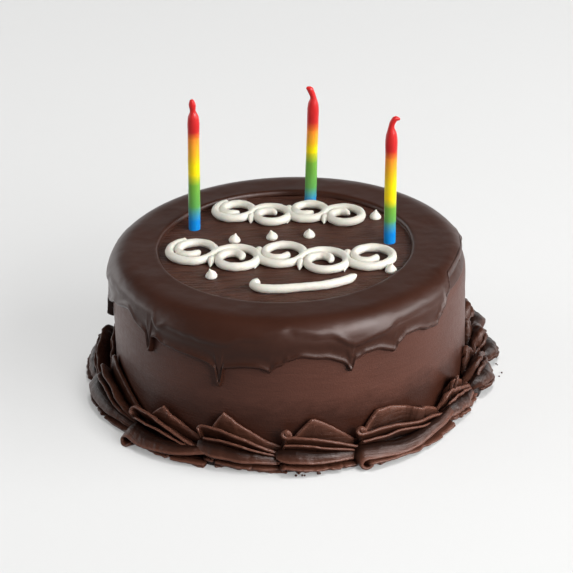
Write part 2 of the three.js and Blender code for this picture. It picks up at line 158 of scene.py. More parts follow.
# A shell's ridges in its solid, from the floor up: the angle above the floor, and how
# far the head trails, which the shell says for the last one.
RIDGES = [(0, 3), (20, 1.5), (40, 0), (66, 0.8), (86, None)]

# Crumbs at the border's foot, [azimuth, spread, how far out, count], and the largest one.
CRUMBS = [
    [-88, 12, 12, 10], [-68, 4, 12, 6], [-46, 3, 11, 5], [-27, 3, 9.8, 4], [4, 4, 11.5, 5],
    [96, 14, 16, 8], [150, 20, 12, 8], [205, 25, 12, 8],
]
CRUMB_SIZE = 0.8

CANDLE_RADIUS = 2.72
CANDLE_FOOT = 52.0           # how far down its foot reaches, in the cake
CANDLE_SIDES = 36
# Each candle's foot, (x, y), its shoulder, (x, z), its wick's places, (x, z, radius), and
# the heights where its colour changes.
CANDLES = {
    "candle_left": (
        (-42.6, 23.9), (-40.6, 118.2),
        [(-40.7, 121.6, 1.4), (-40.8, 125, 1.6), (-40.9, 126.6, 1.1)],
        (72.5, 90, 101, 109.4)),
    "candle_back": (
        (11.3, 47), (13.8, 113.2),
        [(13.9, 117, 1.45), (13.2, 119.6, 1.4), (12.3, 121.4, 1.45), (11.4, 121.9, 0.9)],
        (69.5, 90, 95.5, 101.8)),
    "candle_right": (
        (46.1, 3.2), (47.35, 115.2),
        [(47.3, 119.6, 1.4), (47.9, 121.9, 1.3), (49.4, 123.6, 1.2), (50.8, 123.3, 0.6)],
        (73, 83.5, 99.5, 105.6)),
}

ROPE_RADIUS = 1.9
ROPE_HEIGHT = DISC_HEIGHT + 0.25 + ROPE_RADIUS
ROPE_STEP = 0.8
CURL_END = 2.6
CURL_TAIL = 70
LEAF_RADIUS = 1.85
# Each vine's start, heading, count of curls, their radius, how far they sway to each side,
# how often they turn, and the leaves' length.
VINES = {
    "scroll_lower": ((-43.2, -7), -8, 5, 10.4, 3, 1.5, 9.5),
    "scroll_upper": ((-24.5, 35.5), -5, 4, 8.8, 2.4, 1.4, 8),
}
DOT_RADIUS = 2.7
DOTS = [(-24, 8.5), (-7, 10.5), (10, 11.5), (41, 29), (-34, -27), (45, -27)]
FLOURISH = [(-13, -36.5), (-15.5, -40), (-12, -43.5), (-4, -44.5), (6, -43.5), (16, -42),
            (25, -38), (29.5, -33.5)]


# ---- helpers

def seeded(seed):
    """The same run of numbers as the solids are made with."""
    state = seed

    def draw():
        nonlocal state
        state = (state * 1664525 + 1013904223) % 4294967296
        return state / 4294967296
    return draw


def mix(a, b, t):
    return a + (b - a) * t


def smooth(edge0, edge1, x):
    t = np.clip((x - edge0) / (edge1 - edge0), 0, 1)
    return t * t * (3 - 2 * t)


def hump(x, middle, wide):
    """A soft rise to 1 in the middle and back."""
    return np.exp(-((x - middle) / wide) ** 2)


def rounding(t):
    """A quarter circle's rise, from 0 to 1."""
    return np.sqrt(1 - (1 - np.clip(t, 0, 1)) ** 2)


def joined(*coordinates):
    """Points from their coordinates."""
    return np.stack(np.broadcast_arrays(*coordinates), -1)


def unit(ways):
    return ways / np.maximum(np.linalg.norm(ways, axis=-1, keepdims=True), 1e-9)


def ripple(points, size, seed, waves=16):
    """Smooth unevenness between about -1 and 1 at each point, about size mm across."""
    rng = np.random.default_rng(seed)
    way = unit(rng.normal(size=(waves, points.shape[-1])))
    pitch = size * rng.uniform(0.7, 1.7, waves)
    turn = rng.uniform(0, 2 * np.pi, waves)
    return np.sin(points @ (way * (2 * np.pi / pitch)[:, None]).T + turn).sum(-1) / math.sqrt(2 * waves)


def ripple_line(x, size, seed):
    return ripple(joined(x, 0), size, seed)


def around(radius, azimuth, z):
    angle = np.radians(azimuth)
    return joined(radius * np.sin(angle), -radius * np.cos(angle), z)


def ripple_ring(azimuth, size, seed):
    """A ripple that closes round the cake, about size degrees across."""
    return ripple(around(180 / math.pi, azimuth, 0), size, seed)


def travelled(points):
    """How far along its own length each point of a path lies."""
    return np.concatenate([[0], np.cumsum(np.linalg.norm(np.diff(points, axis=0), axis=1))])


def level_at(levels, azimuth):
    """Softly joined levels: a cosine ramp from each [azimuth, value] to the next."""
    at, value = np.array(levels, float).T
    i = np.clip(np.searchsorted(at, azimuth, side="left"), 1, len(at) - 1)
    t = (1 - np.cos(np.pi * (azimuth - at[i - 1]) / (at[i] - at[i - 1]))) / 2
    return mix(value[i - 1], value[i], t)


def grid_faces(rows, columns, close_rows=False):
    """Quads over rings of points that are stored ring by ring."""
    r = np.arange(rows if close_rows else rows - 1)
    r, c = np.meshgrid(r, np.arange(columns), indexing="ij")
    r2, c2 = (r + 1) % rows, (c + 1) % columns
    quads = np.stack([r * columns + c, r * columns + c2, r2 * columns + c2, r2 * columns + c], -1)
    return quads.reshape(-1, 4)


def capped(rings, ends):
    """The points and outward faces of a tube of rings, with a fan round each end's middle."""
    rows, columns = rings.shape[:2]
    points = np.vstack([rings.reshape(-1, 3), ends])
    quads = grid_faces(rows, columns)
    ring = np.arange(columns)
    after = np.roll(ring, -1)
    middle = 0 * ring + rows * columns
    last = (rows - 1) * columns
    fans = np.concatenate([np.stack([middle, after, ring], -1),
                           np.stack([middle + 1, last + ring, last + after], -1)])
    corners = [points[quads[:, [0, 1, 2]]], points[quads[:, [0, 2, 3]]], points[fans]]
    volume = sum(np.einsum("ij,ij->", c[:, 0], np.cross(c[:, 1], c[:, 2])) for c in corners)
    if volume < 0:
        quads, fans = quads[:, ::-1], fans[:, ::-1]
    return points, quads.tolist() + fans.tolist()


def new_object(name, data):
    made = bpy.data.objects.new(name, data)
    bpy.context.scene.collection.objects.link(made)
    return made


def make_piece(name, points, faces, finish, uv=None, marks=None):
    """A smooth-shaded mesh object at the origin. uv holds one pair for each point, and
    marks hold one number for each point."""
    mesh = bpy.data.meshes.new(name)
    mesh.from_pydata((np.asarray(points, float) * MM).tolist(), [], faces)
    mesh.polygons.foreach_set("use_smooth", np.ones(len(mesh.polygons), bool))
    if uv is not None:
        corner = np.empty(len(mesh.loops), np.int32)
        mesh.loops.foreach_get("vertex_index", corner)
        layer = mesh.uv_layers.new(name="piped")
        layer.data.foreach_set("uv", np.asarray(uv, np.float32)[corner].ravel())
    for mark, values in (marks or {}).items():
        layer = mesh.attributes.new(mark, "FLOAT", "POINT")
        layer.data.foreach_set("value", np.asarray(values, np.float32))
    mesh.materials.append(finish)
    mesh.update()
    return new_object(name, mesh)


def seat(piece, slot, *nodes):
    """Puts a piece on the cake in place of the solids that it stands for."""
    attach(piece, "root")
    if nodes:
        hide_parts(*nodes)


def lay(name, points, faces, slot, node, **more):
    """Makes a piece in its slot's finish and seats it."""
    piece = make_piece(name, points, faces, FINISHES[slot], **more)
    seat(piece, slot, node)
    return piece


# ---- finishes

USUAL = (0.3, 0.7)           # most of a noise's values lie between these


class Laid:
    """A node tree whose nodes are laid one call at a time."""

    def __init__(self, tree, prefix="ShaderNode"):
        self.tree, self.prefix = tree, prefix

    def add(self, kind, *first, **named):
        """Adds a node, with values or links for its first inputs, and for more by name.
        A name in small letters is a setting of the node's own."""
        made = self.tree.nodes.new(kind if "Node" in kind else self.prefix + kind)
        for key in filter(str.islower, named):
            setattr(made, key, named[key])
        for socket, value in zip(made.inputs, first):
            self.feed(socket, value)
        for key, value in named.items():
            if not key.islower():
                self.feed(made.inputs[key.replace("_", " ")], value)
        return made

    def node(self, *values, **named):
        """Adds a node in the same way, for its outputs."""
        return self.add(*values, **named).outputs

    def feed(self, socket, value):
        if isinstance(value, bpy.types.NodeSocket):
            self.tree.links.new(value, socket)
        else:
            socket.default_value = value

    def math(self, operation, a, b):
        return self.node("ShaderNodeMath", a, b, operation=operation)[0]

    def span(self, value, low, high, to_low=0, to_high=1):
        return self.node("ShaderNodeMapRange", value, low, high, to_low, to_high)["Result"]


class Finish(Laid):
    """A material. A colour is three numbers, or a socket."""

    def __init__(self, name, **sockets):
        self.material = bpy.data.materials.new(name)
        self.material.use_nodes = True
        super().__init__(self.material.node_tree)
        self.shader = self.tree.nodes["Principled BSDF"]
        for socket, value in sockets.items():
            self.shader.inputs[socket.replace("_", " ")].default_value = value

    def place(self, stretch=(1, 1, 1)):
        """Object coordinates in millimetres, stretched."""
        where = self.node("TexCoord")["Object"]
        scale = tuple(1000 * s for s in stretch)
        return self.node("Mapping", Vector=where, Scale=scale)["Vector"]

    def along(self, stretch):
        """The piece's own coordinates, along and across the piping."""
        where = self.node("UVMap", uv_map="piped")["UV"]
        return self.node("Mapping", Vector=where, Scale=stretch)["Vector"]

    def noise(self, size, detail=3, rough=0.55, stretch=(1, 1, 1), where=None):
        return self.node("TexNoise", Vector=where or self.place(stretch), Scale=1 / size,
                         Detail=detail, Roughness=rough)["Fac"]

    def mark(self, name):
        return self.node("Attribute", attribute_name=name)["Fac"]

    def blend(self, share, a, b):
        made = self.add("Mix", share, data_type="RGBA")
        self.tint(made.inputs[6], a)
        self.tint(made.inputs[7], b)
        return made.outputs[2]

    def shade(self, value, a, b, within=USUAL):
        return self.blend(self.span(value, *within), a, b)

    def tint(self, socket, value):
        self.feed(socket, (*value, 1) if isinstance(value, tuple) else value)

    def colour(self, value):
        self.tint(self.shader.inputs["Base Color"], value)

    def roughness(self, value, low, high):
        self.feed(self.shader.inputs["Roughness"], self.span(value, *USUAL, low, high))

    def relief(self, *layers):
        """Bumps laid on each other: pairs of a height and its depth in millimetres."""
        normal = None
        for height, depth in layers:
            bump = self.add("Bump", Height=height, Distance=depth * MM, Strength=1.0)
            if normal:
                self.feed(bump.inputs["Normal"], normal)
            normal = bump.outputs["Normal"]
        self.feed(self.shader.inputs["Normal"], normal)


def buttercream_finish():
    """Smoothed icing: bands and scratches round a wall whose foot is darker, partly a greasy stain
    and partly painted shade just above the shells, and fine smears across the top."""
    f = Finish("smoothed_buttercream", IOR=1.45)
    bands = f.noise(3.2, 4, stretch=(0.25, 0.25, 1))
    scratches = f.noise(0.75, 3, 0.6, (0.07, 0.07, 1))
    smears = f.noise(3.0, 5, 0.65, (0.35, 1.6, 1))
    grain = f.noise(0.9, 4, 0.6)
    cloud = f.noise(34, 2, stretch=(1, 1, 0.8))
    blots = f.noise(9, 4, 0.7, (1, 1, 1.6))
    place = f.node("SeparateXYZ", Vector=f.place())
    mottle = f.math("ADD", f.math("MULTIPLY", cloud, 0.6), f.math("MULTIPLY", scratches, 0.4))
    wall = f.shade(mottle, (0.08, 0.0285, 0.0185), (0.104, 0.0378, 0.025), (0.35, 0.65))
    # the darker foot: partly a greasy stain, partly painted shade just above the shells' top edge
    edge = f.math("ADD", place["Z"], f.span(blots, 0.25, 0.75, -4.5, 4.5))
    right = f.span(place["X"], -60, 20, 0.7, 1)
    stain_and_shade = f.math("MULTIPLY", f.span(edge, 19.5, 31, 0.9, 0), right)
    wall = f.blend(stain_and_shade, wall, (0.032, 0.0078, 0.003))
    disc = f.shade(smears, (0.046, 0.0168, 0.0106), (0.1, 0.039, 0.025), (0.35, 0.65))
    top = f.span(place["Z"], DISC_HEIGHT - 2, DISC_HEIGHT - 0.5)
    f.colour(f.blend(top, wall, disc))
    f.roughness(smears, 0.4, 0.52)
    f.relief((bands, 0.14), (scratches, 0.11), (f.math("MULTIPLY", smears, top), 0.8), (grain, 0.1))
    return f.material


def ganache_finish():
    """Poured ganache, set glossy, with the faintest ripple."""
    f = Finish("poured_ganache", IOR=1.46)
    swell = f.noise(16, 2)
    ripples = f.noise(5, 3)
    haze = f.noise(22, 4, 0.6)
    f.colour(f.shade(haze, (0.04, 0.0128, 0.007), (0.048, 0.0154, 0.0085)))
    f.roughness(haze, 0.34, 0.42)
    f.relief((swell, 0.5), (ripples, 0.08))
    return f.material


def piped_finish():
    """Stiff buttercream: streaked along the piping, pitted by small bubbles, with painted shade
    at the root and a painted highlight along each leaf's edge, which the attribute counts from 0 to 1."""
    f = Finish("piped_buttercream", IOR=1.36)
    streaks = f.noise(1.3, 3, where=f.along((0.12, 2.2, 1)))
    grooves = f.noise(1.3, 2, where=f.along((0.05, 0.8, 1)))
    folds = f.noise(1.1, 2, where=f.along((1, 0.16, 1)))
    patches = f.span(f.noise(6, 2), 0.5, 0.62)
    grain = f.noise(0.9, 3, 0.55)
    cells = f.node("TexVoronoi", Vector=f.place(), Scale=0.9)["Distance"]
    pits = f.span(cells, 0.06, 0.24)
    crest = f.mark("crest")
    tone_and_painted_light = f.shade(f.noise(9, 3), (0.0615, 0.0219, 0.0127), (0.085, 0.0307, 0.0182))
    # painted shade in the creases, darkest at each fin's root
    tone_and_painted_light = f.shade(crest, (0.014, 0.0046, 0.0025), tone_and_painted_light, (0.4, 0.95))
    # a painted highlight along each fin's edge
    tone_and_painted_light = f.blend(f.span(crest, 0.9, 1, 0, 0.85), tone_and_painted_light, (0.135, 0.0545, 0.036))
    f.colour(tone_and_painted_light)
    f.roughness(grain, 0.32, 0.44)
    f.relief((grooves, 0.35), (streaks, 0.12), (f.math("MULTIPLY", folds, patches), 0.15),
             (grain, 0.08), (pits, 0.06))
    return f.material


def icing_finish():
    """Off-white piped icing."""
    f = Finish("white_icing", IOR=1.45, Subsurface_Weight=0.12, Subsurface_Scale=0.002)
    grain = f.noise(1.1, 4, 0.6)
    cloud = f.noise(7, 2)
    f.colour(f.blend(cloud, (0.7, 0.672, 0.585), (0.8, 0.78, 0.7)))
    f.roughness(grain, 0.38, 0.52)
    f.relief((grain, 0.18), (cloud, 0.2))
    return f.material


def wax_finish():
    """Dipped wax. The attribute counts the changes of colour from the foot up: 1 is in
    the middle of blue to green, and 4 in the middle of orange to red."""
    f = Finish("striped_wax", IOR=1.45, Subsurface_Weight=0.5, Subsurface_Scale=0.002,
               Subsurface_Radius=(1, 0.9, 0.8))
    ramp = f.add("ValToRGB", Fac=f.span(f.mark("band"), 0, 5))
    blue, yellow, red = (0.004, 0.25, 0.68), (0.98, 0.76, 0.004), (0.62, 0.022, 0.022)
    stops = [(0.16, blue), (0.235, (0.13, 0.4, 0.09)), (0.355, (0.19, 0.45, 0.05)), (0.43, yellow),
             (0.5, yellow), (0.6, (0.97, 0.5, 0.02)), (0.7, (0.97, 0.4, 0.03)),
             (0.785, (0.97, 0.31, 0.03)), (0.83, red), (1, red)]
    elements = ramp.color_ramp.elements
    elements.remove(elements[1])
    for i, (position, colour) in enumerate(stops):
        element = elements.new(position) if i else elements[0]
        element.position = position
        element.color = (*colour, 1)
    f.colour(ramp.outputs["Color"])
    swell = f.noise(3.5, 2, stretch=(1, 1, 0.3))
    f.roughness(swell, 0.28, 0.4)
    f.relief((swell, 0.12))
    return f.material


FINISHES = {
    "buttercream": buttercream_finish(),
    "ganache": ganache_finish(),
    "piped_buttercream": piped_finish(),
    "white_icing": icing_finish(),
    "candle_wax": wax_finish(),
}


# ---- the iced cake

def iced_cake():
    """The smoothed wall, its rounded edge and the bare disc, in one turned skin."""
    flat_edge = CAKE_RADIUS - SHOULDER_RADIUS
    profile = [(CAKE_RADIUS - FOOT_BEVEL, 0)]
    profile += [(CAKE_RADIUS, z) for z in np.linspace(FOOT_BEVEL, WALL_TOP, 46)]
    for angle in np.radians(np.arange(9, 91, 9)):
        profile.append((flat_edge + SHOULDER_RADIUS * math.cos(angle),
                        WALL_TOP + SHOULDER_RADIUS * math.sin(angle)))
    profile += [(r, DISC_HEIGHT) for r in np.linspace(flat_edge - 2, 2, 44)]
    azimuth = np.arange(CAKE_COLUMNS) * 360 / CAKE_COLUMNS
    radius, height = np.array(profile).T[..., None]
    points = around(radius, azimuth, height)
    wall = 1 - smooth(WALL_TOP - 6, WALL_TOP + 4, points[..., 2])
    out = points[..., :2] / CAKE_RADIUS
    lean = 0.16 * ripple(points * (1, 1, 1.6), 46, 3) + 0.05 * ripple(points * (0.5, 0.5, 2), 11, 4)
    points[..., :2] += out * (lean * wall)[..., None]
    disc = smooth(DISC_HEIGHT - 0.2, DISC_HEIGHT, points[..., 2])
    points[..., 2] += disc * (0.12 * ripple(points, 24, 5) + 0.08 * ripple(points * (0.4, 1.4, 1), 7, 6))
    lay("iced_cake", *capped(points, [(0, 0, 0), (0, 0, DISC_HEIGHT)]), "buttercream", "cake")


# ---- the ganache

def hem_height(azimuth):
    height = level_at(HEM_LEVELS, azimuth)
    for at, drop, left, right, stub in DRIPS:
        away = azimuth - at
        skirt = np.where(away < 0, -away / left, away / right)
        height -= drop * np.exp(0.25 - np.hypot(skirt, 0.25))
        height -= stub * np.exp(-(away / STUB_WIDTH) ** 4)
    return height + 0.2 * ripple_ring(azimuth, 9, 12)


def run_at_height(height):
    on_arc = np.arccos(np.clip((height - WALL_TOP) / SHOULDER_RADIUS, -1, 1)) * SHOULDER_RADIUS
    return FLAT_RUN + np.where(height < WALL_TOP, ROUND_RUN + WALL_TOP - height, on_arc)


def poured_point(run, thickness, azimuth):
    """A point over the iced surface, a run outward from the recess and a thickness up."""
    turn = np.clip((run - FLAT_RUN) / SHOULDER_RADIUS, 0, math.pi / 2)
    flat = np.minimum(run, FLAT_RUN)
    wall = np.maximum(0, run - FLAT_RUN - ROUND_RUN)
    radius = RECESS_RADIUS + flat + SHOULDER_RADIUS * np.sin(turn)
    height = DISC_HEIGHT - SHOULDER_RADIUS * (1 - np.cos(turn)) - wall
    point = around(radius + thickness * np.sin(turn), azimuth, height + thickness * np.cos(turn))
    inward = 1 - np.clip((radius - RECESS_RADIUS) / FLAT_RUN, 0, 1)
    point[..., 0] += RECESS_SHIFT * inward
    return point


def ganache_thickness(run, hem, azimuth):
    """How thick it lies: a soft rim, a thinner shoulder, a fold and a bead."""
    share = np.clip((run - FLAT_RUN) / ROUND_RUN, 0, 1)
    thick = mix(RIM_THICKNESS, DRAPE_THICKNESS, smooth(0, 1, share))
    fold = run_at_height(level_at(FOLD_LEVELS, azimuth) + 0.5 * ripple_ring(azimuth, 7, 21))
    fold = np.minimum(fold, hem - 3.2)
    above = 1 - smooth(fold - 1.1, fold + 1.0, run)
    thick += FOLD_THICKNESS * above * smooth(FLAT_RUN, FLAT_RUN + 6, run)
    thick += FOLD_LIP * hump(run - fold, -1.3, 1.3)
    thick -= HOLLOW * hump(hem - run, 5.4, 2) * smooth(0.7, 1, share)
    tip = sum(hump(azimuth, at, 0.9) for at, _, _, _, stub in DRIPS if stub > 1)
    thick += (BEAD_THICKNESS + STUB_THICKNESS[0] * tip) * hump(hem - run, 1.7, 1.3)
    thick += STUB_THICKNESS[1] * tip * smooth(hem - 14, hem - 7, run)
    thick += LIP["thickness"] * hump(azimuth, LIP["azimuth"], 5) * hump(run, LIP["run"], 3)
    return np.maximum(thick * rounding(run / 1.5) * rounding((hem - run) / HEM_ROUND), 0.05)


def poured_ganache():
    azimuth = -180 + np.arange(GANACHE_COLUMNS) * 360 / GANACHE_COLUMNS
    hem = run_at_height(hem_height(azimuth))
    level = np.zeros(GANACHE_COLUMNS)
    # the rows crowd at the rim's inner edge, the fold and the hem
    lip = 1.5 * (1 - np.cos(np.linspace(0, math.pi / 2, 7)))
    flat = np.linspace(2.6, FLAT_RUN, 7)
    arc = FLAT_RUN + ROUND_RUN * np.linspace(0.12, 0.72, 8)
    end = HEM_ROUND * np.sin(np.linspace(0, math.pi / 2, 9)[1:])
    rows = [level + r for r in (*lip, *flat, *arc)]
    rows += [mix(arc[-1], hem - HEM_ROUND, t) for t in np.linspace(0, 1, 30)[1:]]
    rows += [hem - HEM_ROUND + r for r in end]
    run = np.array(rows)
    thick = ganache_thickness(run, hem, azimuth)
    inner_wave = 0.28 * ripple_ring(azimuth, 33, 8) + 0.1 * ripple_ring(azimuth, 9, 9)
    points = poured_point(run + inner_wave * (1 - np.clip(run / 10, 0, 1)), thick, azimuth)
    swell = 0.1 * ripple(points * (1, 1, 0.7), 26, 10) * smooth(1, 5, run)
    points[..., 2] += swell * (run < FLAT_RUN + 6)
    # the closing rows lie on the icing, from the hem back to the recess
    arc_back = [FLAT_RUN + SHOULDER_RADIUS * math.radians(a) for a in (70, 35)]
    back = np.array([hem - 0.5, hem - 3] + [level + r for r in (*arc_back, FLAT_RUN, 0)])
    points = np.concatenate([points, poured_point(np.minimum(back, hem - 0.5), 0.04, azimuth)])
    faces = grid_faces(len(points), GANACHE_COLUMNS, close_rows=True)[:, ::-1].tolist()
    lay("poured_ganache", points.reshape(-1, 3), faces, "ganache", "ganache")


# ---- the shell border

# Each fin's usual look, from the floor up, with the second upper fin last. Its edge runs
# through three places, at the head, half way and at the tail: its angle above the floor
# and its length. Then come how far it starts behind the shell's head, how thick it is at
# its root and along its edge, how far its face bows upwards, how far its head curls over,
# in degrees, the curl's size and the way it turns, as (outward, upward). The belly curls
# only where its head is hooked, and the wall fin only as a lobe.
FIN_LOOK = ("angle", "size", "set_back", "root", "edge", "bow", "curl", "radius", "turn")
FINS = [dict(zip(FIN_LOOK, row)) for row in [
    ((3, 1, 3), (8, 7.4, 9), 6, 3, 1.1, 0.3, 40, 1.2, (-0.8, 0.3)),
    ((17, 11, 10), (10, 10.2, 8.6), 3, 3.2, 1.1, 0.9, 90, 1.8, (-0.25, -1)),
    ((32, 27, 27), (11.8, 11.6, 7), 0, 4, 1.2, 1.4, 250, 2.9, (0.25, -1)),
    ((71, 66, 50), (18, 15.6, 6.8), 1, 3.6, 1.3, 0.8, 140, 3.2, (0.45, -0.85)),
    ((86.5, 86, 82), (22.6, 16, 6.6), 0, 3.8, 1.4, -0.4, 0, 0, (0, 1)),
    ((59, 55, 44), (14.6, 13.8, 7.4), 2.5, 3, 1, 0.6, 60, 1.6, (0.2, -1)),
]]
FIN_RIDGES = (0, 1, 2, 3, 4, 3)      # the solid's ridge that each fin follows
FIN_RAGGED = (0.3, 0.26, 0.1, 0.08, 0.1, 0.12)
# The belly is a broad fin that bulges out over the ones below it. Its root lies a turn
# above its edge, at a share of the edge's length, until it thins out to the tail.
BELLY_FIN = 2
BELLY_HEADS = {
    "round": dict(lift=(34, 14), reach=(0.95, 0.75), round=7.0),
    "hooked": dict(lift=(36, 12), reach=(0.7, 0.85), angle=(24, 23, 46), size=(12.8, 12.2, 10.6),
                   set_back=3.5),
}
WALL_FIN = 4
KNOB_FIN = 3
KNOB = dict(set_back=3, curl=310, radius=1.9, turn=(-0.3, 0.95), size=(15.8, 15, 9))
KNOB_SWELL = 1.4             # how much thicker a knob's rim is than the fin's edge
KNOB_ROOT = 0.6              # how far out its rolled leaf starts, as a share of the fin
LOBE = dict(curl=60, radius=1.4)
LOBE_ROUND = 8.0             # how far a lobed fin's head takes to round up
CRIMP = dict(wide=4.5, rise=2.6, lean=14, pitch=1.7, depth=0.35)
STATIONS = 80
HOOK_STEPS = 22
ACROSS = np.array([0, 0.2, 0.4, 0.58, 0.74, 0.87, 0.95, 1])
EDGE_TURNS = np.radians([60, 30, 0, -30, -60])
AHEAD = np.array([-1, 0, 0])


def shell_plans():
    """Each shell's fins, jittered by the same draws as its solid's ridges."""
    draw = seeded(29)
    plans = []
    for own, following in zip(SHELLS, SHELLS[1:] + [{"head": SHELLS[0]["head"] + 360}]):
        plan = SHELL | own
        # how far each ridge is turned, how much longer its head and its tail are, its trail
        plan["ridges"] = [(
            mix(-2.5, 2.5, draw()) if angle > 0 else 0,
            mix(0.96, 1.04, draw()),
            mix(0.95, 1.05, draw()),
            (plan["trail"] if trail is None else trail) + mix(-0.7, 0.7, draw()),
        ) for angle, trail in RIDGES]
        plan["length"] = math.radians(following["head"] - plan["head"] + SHELL_OVERLAP) * SHELL_FOOT
        plans.append(plan)
    return plans


def on_corner(run, angle, length):
    """A point by its run along the wall's foot and its place across it."""
    a = np.radians(angle)
    return joined(run, length * np.cos(a), length * np.sin(a))


def through(places, t):
    """A parabola through three places, at t = 0, a half and 1."""
    head, middle, tail = places
    return 2 * (t - 0.5) * (t - 1) * head + 4 * t * (1 - t) * middle + 2 * t * (t - 0.5) * tail


def fin_lines(plan, i, look, rng):
    """A fin's edge and root, from its curled head's tip to the tail, and its thickness."""
    turned, longer, tail_longer, trail = plan["ridges"][FIN_RIDGES[i]]
    length, start = plan["length"], plan["start"]
    seed = int(rng.integers(1, 9999))
    t = np.linspace(0, 1, STATIONS)
    run = mix(start, length, t)
    free = smooth(0.05, 0.35, t) * (1 - smooth(0.85, 1, t))
    wave = plan["wave"] * (0.5 if i == WALL_FIN else 1)
    size = list(look["size"])
    if i == WALL_FIN:
        size[1] = plan["full"]
    angle = through(look["angle"], t) + turned * (1 - t)
    angle = angle + wave * free * ripple_line(run, 18, seed)
    size = through(size, t) * mix(longer, tail_longer, t)
    if plan["style"] == "lobes":
        size = size * mix(0.4, 1, rounding((run - start) / LOBE_ROUND))
    if i < BELLY_FIN:
        size = size * mix(plan["spread"], 1, t)
    if i == WALL_FIN:
        crimp = hump(run, plan["crimp"], CRIMP["wide"])
        ribs = np.sin(run * 2 * math.pi / CRIMP["pitch"])
        size = size + crimp * (CRIMP["rise"] + CRIMP["depth"] * ribs)
        angle = angle - crimp * (CRIMP["lean"] + 3 * CRIMP["depth"] * ribs)
    ragged = FIN_RAGGED[i] * plan["torn"]
    size = size + ragged * (0.7 * ripple_line(run, 3.5, seed + 1) + ripple_line(run, 9, seed + 2))
    for at in rng.uniform(3, length - 8, 2 if i < 2 else 0):
        size -= plan["torn"] * rng.uniform(0.5, 1.4) * np.exp(-((run - at) / rng.uniform(0.6, 1.5)) ** 4)
    trail += look["set_back"]
    edge = on_corner(run + trail * (1 - t) ** 2, angle, size)
    usual = (-6, 0) if i == WALL_FIN else (4, 0)
    lean = mix(*look.get("lift", usual), t)
    reach = mix(*look.get("reach", (0.3, 0.3)), t)
    root = on_corner(run + 0.5 * trail * (1 - t) ** 2, angle + lean, np.maximum(reach * size, 2.2))
    thick = np.full(STATIONS, look["edge"] * plan["plump"])
    if "round" in look:
        open_to = np.maximum(rounding((run - start) / look["round"]), 0.12)[:, None]
        centre = mix(root, edge, 0.5)
        return mix(centre, edge, open_to), mix(centre, root, open_to), thick
    if i == WALL_FIN and plan["style"] != "lobes":
        # its head is a straight slanting end, down to the fin below
        s = np.linspace(0, 1, 12)[:-1, None]
        foot = on_corner(start - 0.6 + 0.3 * trail, 70, 8.5)
        bow = np.sin(np.pi * s) * np.array([[-0.8, 0, 0.4]])
        edge = np.vstack([mix(foot, edge[:1], s) + bow, edge])
        root = np.vstack([np.repeat(root[:1], len(s), 0), root])
        return edge, root, np.concatenate([thick[:len(s)], thick])
    curl = math.radians(look["curl"] + rng.uniform(-20, 20))
    theta = np.linspace(curl, 0, HOOK_STEPS)[:-1, None]
    radius = look["radius"] * plan["curls"] * rng.uniform(0.85, 1.15) * mix(1, 0.5, theta / curl)
    turn = np.array([0, *look["turn"]]) / math.hypot(*look["turn"])
    hook = edge[:1] + radius * (np.sin(theta) * AHEAD + (1 - np.cos(theta)) * turn)
    swell = np.ones(len(theta))
    inner_length = 2.6
    if i == KNOB_FIN and plan["style"] == "knob":
        inner_length = KNOB_ROOT * size[0]
        swell += (KNOB_SWELL - 1) * smooth(0, 1.5, theta[:, 0])
        thick *= mix(KNOB_SWELL, 1, smooth(0, 0.12, t)) ** 0.5
    inner = on_corner(start + 3.5, angle[0], inner_length)
    reach = (theta / curl) ** 0.8
    thick = np.concatenate([thick[0] * swell / swell[-1], thick])
    return np.vstack([hook, edge]), np.vstack([mix(root[:1], inner, reach), root]), thick


def fin_skin(edge, root, thick, look):
    """A closed leaf between two lines: rings round its section, one for each station."""
    middle = root[:, None] + (edge - root)[:, None] * ACROSS[None, :, None]
    along = np.gradient(middle, axis=0)
    across = np.gradient(middle, axis=1)
    normal = unit(np.cross(across, along))
    wide = np.ones((len(edge), 1))
    if "round" in look:
        wide = np.sqrt(np.linspace(0, 1, len(edge)) * np.linspace(3, 0.4, len(edge)))[:, None].clip(0, 1)
    middle = middle - normal * (wide * look["bow"] * np.sin(np.pi * ACROSS ** 0.9))[..., None]
    at = travelled(edge)
    end = np.maximum(rounding(np.minimum(at, at[-1] - at) / 0.7), 0.1)[:, None]
    half = mix(look["root"], thick[:, None], ACROSS[None] ** 0.55) / 2 * end * mix(0.5, 1, wide)
    upper = middle + normal * half[..., None]
    lower = middle - normal * half[..., None]
    out = unit(across[:, -1])
    brink = [middle[:, -1] + half[:, -1:] * (math.cos(a) * out + math.sin(a) * normal[:, -1])
             for a in EDGE_TURNS]
    rings = np.concatenate([upper, np.stack(brink, 1), lower[:, ::-1]], 1)
    near = np.concatenate([ACROSS, np.ones(len(brink)), ACROSS[::-1]])
    reach = np.linalg.norm(edge - root, axis=1)
    uv = joined(at[:, None], near * reach[:, None])
    return rings, uv, np.broadcast_to(near, rings.shape[:2])


def core_skin(plan):
    """The round body that the fins stand on."""
    psi = np.linspace(0.05, math.pi / 2, 8)
    run = np.concatenate([2.5 + 4 * (1 - np.cos(psi)), np.linspace(6.5, plan["length"] + 1, 24)[1:]])
    swell = np.concatenate([np.sin(psi), np.ones(23)])
    size = swell * mix(8.6, 5.2, np.clip(run / plan["length"], 0, 1))
    arc = on_corner(run[:, None], np.linspace(0, 90, 12)[None], size[:, None])
    rings = np.concatenate([on_corner(run, 0 * run, 0 * run)[:, None], arc], 1)
    uv = joined(run[:, None], np.arange(13.0))
    return rings, uv, np.zeros(rings.shape[:2])


def wrap(points, plan):
    """Bends a straight corner's points round the cake's foot."""
    run, out, up = np.moveaxis(points, -1, 0)
    return around(SHELL_FOOT + np.maximum(plan["bulge"] * out, -0.25),
                  plan["head"] + np.degrees(run / SHELL_FOOT), np.maximum(plan["height"] * up, 0.03))


